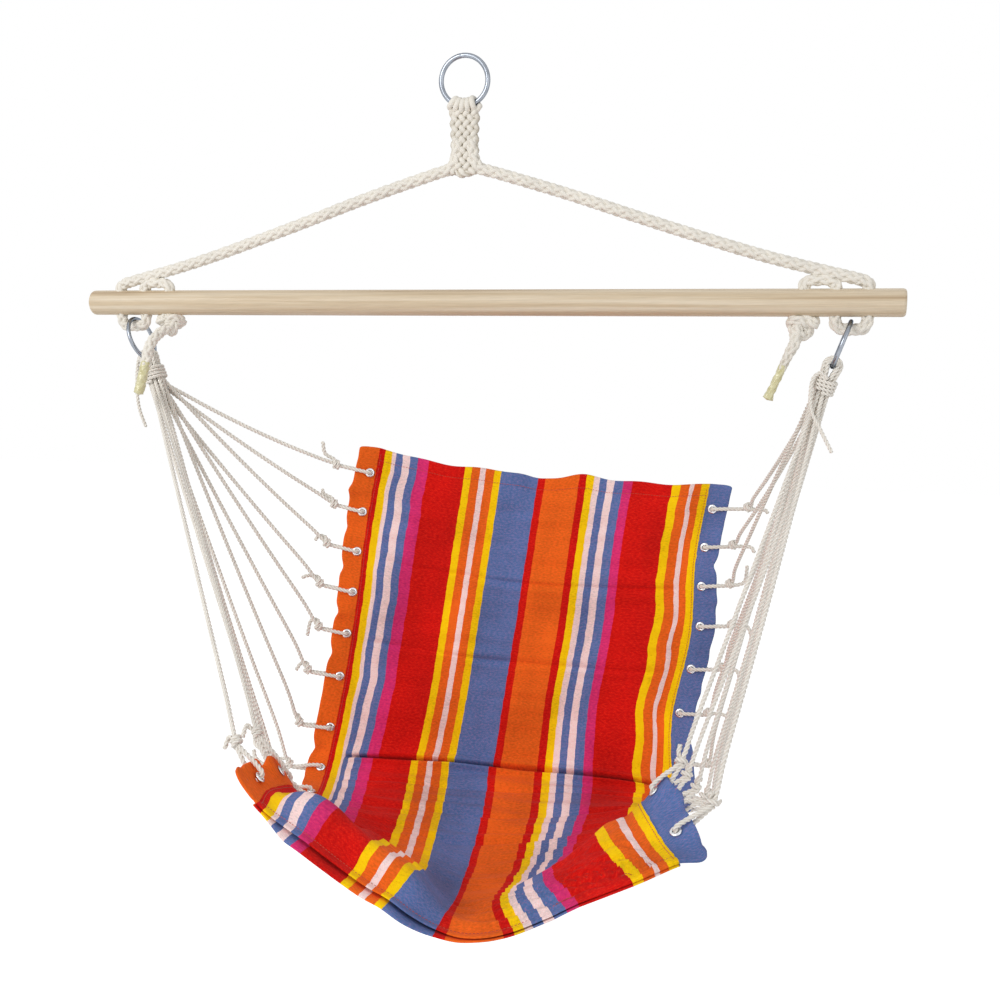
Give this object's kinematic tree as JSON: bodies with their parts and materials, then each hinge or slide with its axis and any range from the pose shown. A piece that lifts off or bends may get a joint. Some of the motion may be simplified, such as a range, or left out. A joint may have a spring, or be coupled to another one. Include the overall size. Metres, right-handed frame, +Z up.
{
  "type": "hammock chair",
  "caption": "Hanging hammock chair: padded striped cloth seat on two fans of cord under a wooden spreader bar, with a rope yoke and one hanging ring.",
  "frame": {"origin": "hang point: the inside top of the steel hanging ring, where a hook carries the chair", "axes": "+X along the spreader bar to the viewer's right of the picture, -Y toward the front (the way the sitter faces), +Z up"},
  "size_m": [1, 0.6478, 0.9577],
  "materials": {
    "zinc_steel": "zinc-plated steel wire, welded, softly polished",
    "eyelet_metal": "nickel-plated pressed metal",
    "wood": "smooth bare pale hardwood, fine straight grain",
    "rope": "cream braided rope",
    "cord": "cream three-strand twisted cord",
    "tape": "clear yellowish tape round the rope end",
    "striped_cloth": "woven cloth with lengthwise stripes of orange, red, yellow, pale pink, blue and magenta",
    "back_cloth": "woven cloth with the same lengthwise stripes",
    "hem_orange": "folded and stitched orange cloth hem",
    "hem_blue": "folded and stitched blue cloth hem",
    "filling": "white fibre wadding, hidden between the two cloths"
  },
  "bodies": {
    "ring": {"hanging_ring": "zinc_steel"},
    "yoke": {"yoke_band": "rope", "spreader_bar": "wood", "yoke_rope_left": "rope", "stopper_knot_left": "rope", "rope_end_tape_left": "tape", "yoke_rope_right": "rope", "stopper_knot_right": "rope", "rope_end_tape_right": "tape"},
    "seat": {"small_ring_left": "zinc_steel", "whipping_left": "cord", "harness_cord_left_1": "cord", "harness_cord_left_2": "cord", "harness_cord_left_3": "cord", "harness_cord_left_4": "cord", "harness_cord_left_5": "cord", "harness_cord_left_6": "cord", "harness_cord_left_7": "cord", "eyelet_left_01": "eyelet_metal", "eyelet_left_02": "eyelet_metal", "eyelet_left_03": "eyelet_metal", "eyelet_left_04": "eyelet_metal", "eyelet_left_05": "eyelet_metal", "eyelet_left_06": "eyelet_metal", "eyelet_left_07": "eyelet_metal", "eyelet_left_08": "eyelet_metal", "eyelet_left_09": "eyelet_metal", "eyelet_left_10": "eyelet_metal", "eyelet_left_11": "eyelet_metal", "eyelet_left_12": "eyelet_metal", "eyelet_left_13": "eyelet_metal", "eyelet_left_14": "eyelet_metal", "side_hem_left": "hem_orange", "small_ring_right": "zinc_steel", "whipping_right": "cord", "harness_cord_right_1": "cord", "harness_cord_right_2": "cord", "harness_cord_right_3": "cord", "harness_cord_right_4": "cord", "harness_cord_right_5": "cord", "harness_cord_right_6": "cord", "harness_cord_right_7": "cord", "eyelet_right_01": "eyelet_metal", "eyelet_right_02": "eyelet_metal", "eyelet_right_03": "eyelet_metal", "eyelet_right_04": "eyelet_metal", "eyelet_right_05": "eyelet_metal", "eyelet_right_06": "eyelet_metal", "eyelet_right_07": "eyelet_metal", "eyelet_right_08": "eyelet_metal", "eyelet_right_09": "eyelet_metal", "eyelet_right_10": "eyelet_metal", "eyelet_right_11": "eyelet_metal", "eyelet_right_12": "eyelet_metal", "eyelet_right_13": "eyelet_metal", "eyelet_right_14": "eyelet_metal", "side_hem_right": "hem_blue", "top_cover": "striped_cloth", "bottom_cover": "back_cloth", "padding": "filling"}
  },
  "joints": [
    {"name": "yoke_swing", "type": "hinge", "parent": "ring", "child": "yoke", "pos_m": [0, 0, -0.0516], "axis": [1, 0, 0], "range_deg": [-25, 25]},
    {"name": "seat_swing", "type": "hinge", "parent": "yoke", "child": "seat", "pos_m": [0, 0, -0.308], "axis": [1, 0, 0], "range_deg": [-12, 30]}
  ]
}
